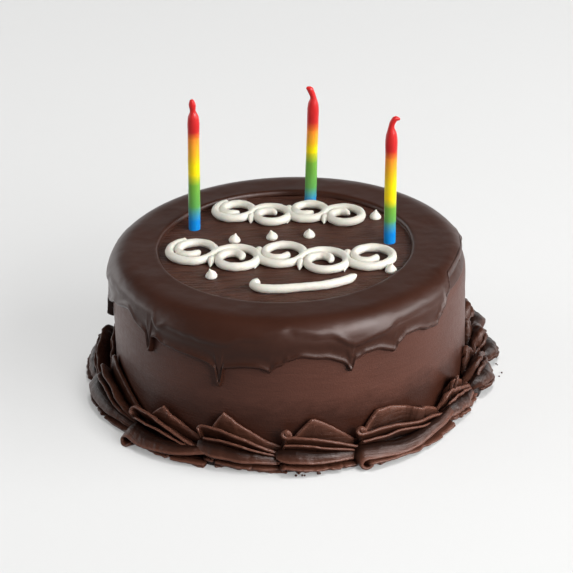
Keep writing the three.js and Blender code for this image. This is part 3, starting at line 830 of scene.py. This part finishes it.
def piped_shell(name, plan, seed):
    """Makes one shell from its fins and core, roughened, in place of its solid."""
    rng = np.random.default_rng(seed)
    skins = [core_skin(plan)]
    for i, look in enumerate(FINS):
        if i == KNOB_FIN and plan["style"] == "knob":
            look = look | KNOB
        if plan["style"] == "lobes":
            look = look | LOBE
        if i == BELLY_FIN:
            look = look | BELLY_HEADS[plan["belly"]]
        skins.append(fin_skin(*fin_lines(plan, i, look, rng), look))
    points, faces, uvs, crests = [], [], [], []
    count = 0
    for rings, uv, crest in skins:
        ends = np.array([rings[0].mean(0), rings[-1].mean(0)])
        own, own_faces = capped(wrap(rings, plan), wrap(ends, plan))
        faces += [[k + count for k in face] for face in own_faces]
        points.append(own)
        uvs.append(np.vstack([uv.reshape(-1, 2), uv[0, 0], uv[-1, 0]]))
        crests.append(np.concatenate([crest.reshape(-1), [0, 0]]))
        count += len(own)
    points = np.vstack(points)
    away = np.linalg.norm(points[:, :2], axis=1, keepdims=True)
    push = points * (1, 1, 0) / away * (away > SHELL_FOOT + 0.5)
    rough = ripple(points, 2.4, seed + 70) * 0.06 + ripple(points, 7, seed + 90) * 0.16
    dents = ripple(points, 5, seed + 30) + 0.4 * ripple(points, 2.6, seed + 50)
    points = points + push * (rough * plan["torn"] + plan["crumple"] * dents)[:, None]
    # the crest mark sets where the finish paints shade and a highlight, cut on some shells for more painted
    # shade
    lay("piped_" + name, points, faces, "piped_buttercream", name, uv=np.vstack(uvs),
        marks={"crest": plan["tone_and_painted_light"] * np.concatenate(crests)})


def shell_border():
    for i, plan in enumerate(shell_plans()):
        piped_shell(f"shell_{i + 1:02d}", plan, 100 + 13 * i)


def crumbs():
    """Torn bits of buttercream on the floor at the border's foot."""
    rng = np.random.default_rng(77)
    points, sizes = [], []
    for middle, spread, out, count in CRUMBS:
        azimuth = middle + spread * rng.uniform(-1, 1, count)
        size = CRUMB_SIZE * rng.uniform(0.5, 1, count) ** 2
        points.append(around(SHELL_FOOT + out * rng.uniform(0.9, 1.05, count), azimuth, 0.6 * size))
        sizes.append(size)
    source = make_piece("crumb_places", np.vstack(points), [], FINISHES["piped_buttercream"],
                        marks={"size": np.concatenate(sizes) * MM})
    piece = grow("piping_crumbs", source, crumb_tree(), Finish=FINISHES["piped_buttercream"])
    seat(piece, "piped_buttercream")


# ---- the candles

def soft_path(stations, step):
    """A smooth run of (x, y, z, radius) stations through the given ones."""
    stations = np.array(stations, float)
    at = travelled(stations[:, :3])
    gaps = np.diff(at)
    slope = np.gradient(stations, at, axis=0)
    slope[:2] = (stations[1] - stations[0]) / gaps[0]
    fine = np.linspace(0, at[-1], int(at[-1] / step) + 2)
    i = np.clip(np.searchsorted(at, fine, side="right") - 1, 0, len(at) - 2)
    d = gaps[i][:, None]
    u = ((fine - at[i]) / gaps[i])[:, None]
    h00, h10 = 2 * u**3 - 3 * u**2 + 1, u**3 - 2 * u**2 + u
    h01, h11 = -2 * u**3 + 3 * u**2, u**3 - u**2
    return h00 * stations[i] + h10 * d * slope[i] + h01 * stations[i + 1] + h11 * d * slope[i + 1]


def striped_candle(name, foot, shoulder, wick, bands):
    (foot_x, y), (top_x, top_z) = foot, shoulder
    lean = (top_x - foot_x) / (top_z - DISC_HEIGHT)
    shaft = [(foot_x + lean * (z - DISC_HEIGHT), y, z, CANDLE_RADIUS)
             for z in np.linspace(CANDLE_FOOT, top_z - 1.5, 14)]
    neck = [(top_x, y, top_z + 1.2, CANDLE_RADIUS * 0.86)]
    path = soft_path(shaft + neck + [(x, y, z, r) for x, z, r in wick], 0.7)
    turn = np.arange(CANDLE_SIDES)[:, None] * 2 * math.pi / CANDLE_SIDES
    along = unit(np.gradient(path[:, None, :3], axis=0))
    side = unit(np.cross((0, 1, 0), along))
    rings = path[:, None, :3] + path[:, None, 3:] * (np.cos(turn) * side
                                                     + np.sin(turn) * np.cross(along, side))
    # two smaller rings round off the wick's tip
    tip, way, r = path[-1, :3], along[-1, 0], path[-1, 3]
    ends = [tip + way * lift * r + (rings[-1] - tip) * size for lift, size in ((0.35, 0.86), (0.6, 0.5))]
    rings = np.concatenate([rings, ends])
    rings += 0.022 * ripple(rings * (1, 1, 0.3), 4, 40)[..., None] * (rings - rings.mean(1, keepdims=True))
    points, faces = capped(rings, [rings[0].mean(0), tip + way * 0.7 * r])
    band = np.interp(points[:, 2], (50, *bands, 128), range(6))
    piece = lay("striped_" + name, points, faces, "candle_wax", name, marks={"band": band})
    piece.visible_glossy = False


# ---- the scrollwork

class Tree(Laid):
    """A geometry tree with named inputs, each (name, socket type, usual value)."""

    def __init__(self, name, *inputs):
        super().__init__(bpy.data.node_groups.new(name, "GeometryNodeTree"), "GeometryNode")
        sockets = self.tree.interface
        for label, kind, value in (("Geometry", "Geometry", None), *inputs):
            socket = sockets.new_socket(label, in_out="INPUT", socket_type="NodeSocket" + kind)
            if value is not None:
                socket.default_value = value
        sockets.new_socket("Geometry", in_out="OUTPUT", socket_type="NodeSocketGeometry")
        self.given = self.node("NodeGroupInput")

    def uneven(self, geometry):
        """Pushes a surface in and out by the tree's own ripple."""
        place = self.node("InputPosition")[0]
        scale = self.math("DIVIDE", 1.0, self.given["Ripple size"])
        noise = self.node("ShaderNodeTexNoise", Vector=place, Scale=scale)["Fac"]
        amount = self.math("MULTIPLY", self.math("SUBTRACT", noise, 0.5), self.given["Ripple"])
        normal = self.node("InputNormal")[0]
        push = self.node("ShaderNodeVectorMath", normal, operation="SCALE", Scale=amount)
        return self.node("SetPosition", Geometry=geometry, Offset=push[0])[0]

    def above(self, geometry, height):
        """Presses a surface flat where it would sink below a height."""
        place = self.node("InputPosition")[0]
        split = self.node("ShaderNodeSeparateXYZ", Vector=place)
        height = self.math("MAXIMUM", split["Z"], height)
        join = self.node("ShaderNodeCombineXYZ", split["X"], split["Y"], height)[0]
        return self.node("SetPosition", Geometry=geometry, Position=join)[0]

    def finish(self, geometry):
        """Ends the tree: smooth shading, real geometry and its material."""
        smoothed = self.node("SetShadeSmooth", Geometry=geometry)[0]
        real = self.node("RealizeInstances", Geometry=smoothed)[0]
        done = self.node("SetMaterial", Geometry=real, Material=self.given["Finish"])[0]
        self.node("NodeGroupOutput", Geometry=done)
        return self.tree


def rope_tree():
    """Pipes icing along a curve, as thick as the curve's radius, pressed on the disc."""
    t = Tree("piped_rope", ("Sides", "Int", 20), ("Disc height", "Float", DISC_HEIGHT * MM),
             ("Ripple", "Float", 0.00012), ("Ripple size", "Float", 0.002), ("Finish", "Material", None))
    ring = t.node("CurvePrimitiveCircle", Resolution=t.given["Sides"], Radius=1.0)["Curve"]
    pipe = t.node("CurveToMesh", Curve=t.given["Geometry"], Profile_Curve=ring, Fill_Caps=True,
                  Scale=t.node("InputRadius")[0])
    return t.finish(t.above(t.uneven(pipe["Mesh"]), t.given["Disc height"]))


def crumb_tree():
    """Sets a rough crumb, turned at random, on each point, as large as the point's size."""
    t = Tree("crumbs", ("Seed", "Int", 5), ("Ripple", "Float", 0.9), ("Ripple size", "Float", 0.7),
             ("Floor", "Float", 0.00003), ("Finish", "Material", None))
    crumb = t.uneven(t.node("MeshIcoSphere", Radius=1.0, Subdivisions=3)["Mesh"])
    # a fixed crest mark, which sets how much painted shade the finish gives the crumbs
    crumb = t.node("StoreNamedAttribute", Geometry=crumb, Name="crest", Value=0.8)[0]
    size = t.node("InputNamedAttribute", Name="size")[0]
    turn = t.node("FunctionNodeRandomValue", (0, 0, 0), (6.3, 6.3, 6.3), data_type="FLOAT_VECTOR",
                  Seed=t.given["Seed"])
    strewn = t.node("InstanceOnPoints", Points=t.given["Geometry"], Instance=crumb,
                    Rotation=turn[0], Scale=size)
    real = t.node("RealizeInstances", Geometry=strewn[0])[0]
    return t.finish(t.above(real, t.given["Floor"]))


def grow(name, source, tree, **inputs):
    """Runs a geometry tree on an object and keeps the result as a plain mesh."""
    modifier = source.modifiers.new("grow", "NODES")
    modifier.node_group = tree
    sockets = {item.name: item.identifier for item in tree.interface.items_tree if item.in_out == "INPUT"}
    for key, value in inputs.items():
        modifier[sockets[key.replace("_", " ")]] = value
    bpy.context.view_layer.update()
    grown = source.evaluated_get(bpy.context.evaluated_depsgraph_get())
    mesh = bpy.data.meshes.new_from_object(grown)
    mesh.name = name
    source.modifiers.remove(modifier)
    bpy.data.objects.remove(source)
    return new_object(name, mesh)


def rope_curve(name, ropes):
    """A curve object of (points, radii) ropes, in metres."""
    curve = bpy.data.curves.new(name, "CURVE")
    curve.dimensions = "3D"
    for points, radii in ropes:
        spline = curve.splines.new("POLY")
        spline.points.add(len(points) - 1)
        for at, point, radius in zip(spline.points, points, radii):
            at.co = (*(np.array(point) * MM), 1)
            at.radius = radius * MM
    return new_object(name, curve)


def rope_radii(points, seed):
    """Round where the piping starts, uneven on the way, drawn out where it stops."""
    at = travelled(points)
    start = rounding(at / 1.7)
    stop = mix(0.25, 1, np.clip((at[-1] - at) / 3.4, 0, 1) ** 0.6)
    pulse = 1 + 0.05 * ripple_line(at, 6, seed) + 0.03 * ripple_line(at, 2.6, seed + 1)
    return ROPE_RADIUS * np.maximum(start * stop * pulse, 0.12)


def off(centre, angle, reach, height):
    """Points at a reach from a centre on the disc, in a direction, at a height."""
    return joined(centre[0] + reach * np.cos(angle), centre[1] + reach * np.sin(angle), height)


def curl(centre, radius, start, spin, turns, lead):
    """A loop round a centre that is drawn in to the curl's end."""
    sweep = 360 * turns + lead
    hold = (180 + lead) / sweep
    count = math.ceil(math.radians(sweep) * (radius + CURL_END) / 2 / ROPE_STEP)
    t = np.linspace(0, 1, count + 1)
    drawn = np.maximum(0, (t - hold) / (1 - hold))
    return off(centre, np.radians(start + spin * sweep * t), mix(radius, CURL_END, drawn), ROPE_HEIGHT)


def leaf(joint, heading, length):
    t = np.linspace(0, 1, 14)
    radii = np.interp(t, (0, 0.3, 0.6, 0.85, 1), (0.7, 0.85, 1, 0.6, 0.12)) * LEAF_RADIUS
    return off(joint, math.radians(heading), length * t, ROPE_HEIGHT - ROPE_RADIUS + radii), radii


def vine_ropes(seed, start, heading, count, radius, sway, turns, leaf_length):
    way = np.array([math.cos(math.radians(heading)), math.sin(math.radians(heading))])
    normal = np.array([-way[1], way[0]])
    pitch = 2 * math.sqrt(radius ** 2 - sway ** 2)
    ropes, last = [], None
    for i in range(count):
        spin = -1 if i % 2 else 1
        centre = np.array(start) + way * pitch * i + normal * spin * sway
        lead, back = CURL_TAIL, heading + 180
        if last is not None:
            lead, back = 0, math.degrees(math.atan2(last[1] - centre[1], last[0] - centre[0]))
        points = curl(centre, radius, back - spin * lead, spin, turns, lead)
        ropes.append((points, rope_radii(points, seed + i)))
        if last is not None:
            ropes += [leaf((last + centre) / 2, heading + side, leaf_length) for side in (90, -90)]
        last = centre
    return ropes


def catmull(points, step):
    points = np.array(points, float)
    padded = np.vstack([2 * points[0] - points[1], points, 2 * points[-1] - points[-2]])
    fine = []
    for i in range(1, len(padded) - 2):
        a, b, c, d = padded[i - 1:i + 3]
        for u in np.linspace(0, 1, max(2, int(np.linalg.norm(c - b) / step)), endpoint=False):
            fine.append(0.5 * (2 * b + (c - a) * u + (2 * a - 5 * b + 4 * c - d) * u**2
                               + (3 * b - a - 3 * c + d) * u**3))
    return np.array(fine + [points[-1]])


def dot(centre, way):
    """A small mound, drawn up to a point that leans over, each one another way."""
    t = np.linspace(0, 1, 16)
    radii = DOT_RADIUS * np.interp(t, (0, 0.1, 0.25, 0.5, 0.75, 0.9, 1),
                                   (0.9, 1, 0.98, 0.78, 0.36, 0.18, 0.08))
    return off(centre, way, 0.7 * t ** 2, DISC_HEIGHT + 0.1 + 1.5 * DOT_RADIUS * t), radii


def scrollwork():
    """Pipes the vines, the flourish and the dots, each as one piece for its solid."""
    path = joined(*catmull(FLOURISH, ROPE_STEP).T, ROPE_HEIGHT)
    drawn = {name: vine_ropes(300 + 20 * k, *vine) for k, (name, vine) in enumerate(VINES.items())}
    drawn["flourish"] = [(path, rope_radii(path, 350))]
    drawn |= {f"dot_{i + 1}": [dot(centre, 2.4 * i)] for i, centre in enumerate(DOTS)}
    tree, finish = rope_tree(), FINISHES["white_icing"]
    for name, ropes in drawn.items():
        piece = grow("piped_" + name, rope_curve(name + "_path", ropes), tree, Finish=finish)
        seat(piece, "white_icing", "scroll_flourish" if name == "flourish" else name)


# ---- stage, camera, light

FOCAL_PIXELS, FRAME_PIXELS, SENSOR = 2198.5, 573, 36
ROOM_FRONT, ROOM_BACK, ROOM_ABOVE = 0.3, 0.95, 0.04      # how bright the room is
ROOM_FILL = 0.4              # how much of that lights what it isn't mirrored in
FLOOR_REACH = 6000


def camera():
    """Looks down at the cake's front by 26.8 degrees, with a slight roll."""
    tilt, roll = math.radians(26.766), math.radians(-1.787)
    target, distance = Vector((-1.1, 0, 44.2)) * MM, 1.0
    turn = Matrix.Rotation(math.pi / 2 - tilt, 4, "X") @ Matrix.Rotation(roll, 4, "Z")
    data = bpy.data.cameras.new("camera")
    data.sensor_width = SENSOR
    data.lens = SENSOR * FOCAL_PIXELS / FRAME_PIXELS
    data.clip_end = 20
    eye = new_object("camera", data)
    eye.matrix_world = Matrix.Translation(target) @ turn @ Matrix.Translation((0, 0, distance))
    bpy.context.scene.camera = eye


def softbox(name, azimuth, elevation, distance, width, height, power, glossy=True, diffuse=True, only=None):
    """A rectangular light that faces the cake. It can be left out of gloss, or of all
    but gloss, or kept to one collection."""
    data = bpy.data.lights.new(name, "AREA")
    data.shape = "RECTANGLE"
    data.size, data.size_y = width, height
    data.energy = power
    lamp = new_object(name, data)
    rise = math.radians(elevation)
    way = Vector(around(math.cos(rise), azimuth, math.sin(rise)))
    lamp.visible_glossy = glossy
    lamp.visible_diffuse = diffuse
    lamp.light_linking.receiver_collection = only
    lamp.location = Vector((0, 0, 0.05)) + way * distance
    lamp.rotation_euler = way.to_track_quat("Z", "Y").to_euler()


def room():
    """White all round: bright low down behind the cake, dim in front and dark above."""
    world = bpy.data.worlds.new("studio")
    world.use_nodes = True
    bpy.context.scene.world = world
    t = Laid(world.node_tree)
    way = t.node("SeparateXYZ", Vector=t.node("TexCoord")["Generated"])
    near = t.span(way["Y"], -0.2, 0.5, ROOM_FRONT, ROOM_BACK)
    level = t.span(way["Z"], 0.1, 0.42, near, ROOM_ABOVE)
    share = t.span(t.node("LightPath")["Is Diffuse Ray"], 0, 1, 1, ROOM_FILL)
    background = t.tree.nodes["Background"].inputs
    t.feed(background["Strength"], t.math("MULTIPLY", level, share))
    t.feed(background["Color"], (1, 1, 1, 1))


def studio():
    """A pale table, lit from the right, with weaker lights behind, above and on the
    left, and one more light on the table alone."""
    corners = FLOOR_REACH * np.array([(-1, -1, 0), (1, -1, 0), (1, 1, 0), (-1, 1, 0)])
    floor = make_piece("floor", corners, [[0, 1, 2, 3]], pale_floor())
    floor.visible_glossy = False
    floor.visible_diffuse = False
    floor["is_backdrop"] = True
    table = bpy.data.collections.new("table")
    table.objects.link(floor)
    softbox("key", 42, 21, 1.6, 0.9, 0.8, 24, glossy=False)
    softbox("glint", 42, 38, 1.6, 0.9, 0.7, 24, diffuse=False)
    softbox("right", 80, 27, 1.6, 1.1, 1.1, 20)
    softbox("back_left", -112, 14, 1.5, 1.6, 0.6, 4.8)
    softbox("overhead", 25, 68, 2.6, 1.4, 1.4, 15, glossy=False)
    softbox("left", -88, 32, 1.8, 1.4, 1.4, 8, glossy=False)
    softbox("table", 125, 78, 2.6, 0.7, 0.7, 58, glossy=False, only=table)
    bpy.context.scene.view_settings.view_transform = "Standard"


def pale_floor():
    f = Finish("pale_floor", Roughness=0.85, Emission_Strength=0.24, Emission_Color=(1, 1, 0.995, 1))
    f.colour((0.36, 0.36, 0.357))
    return f.material


camera()
room()
studio()
iced_cake()
poured_ganache()
shell_border()
crumbs()
for candle_name, candle_plan in CANDLES.items():
    striped_candle(candle_name, *candle_plan)
scrollwork()

as_lists = lambda box: [[float(v) for v in corner] for corner in box]
{"cad": as_lists(cad_box), "visual": as_lists(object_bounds())}
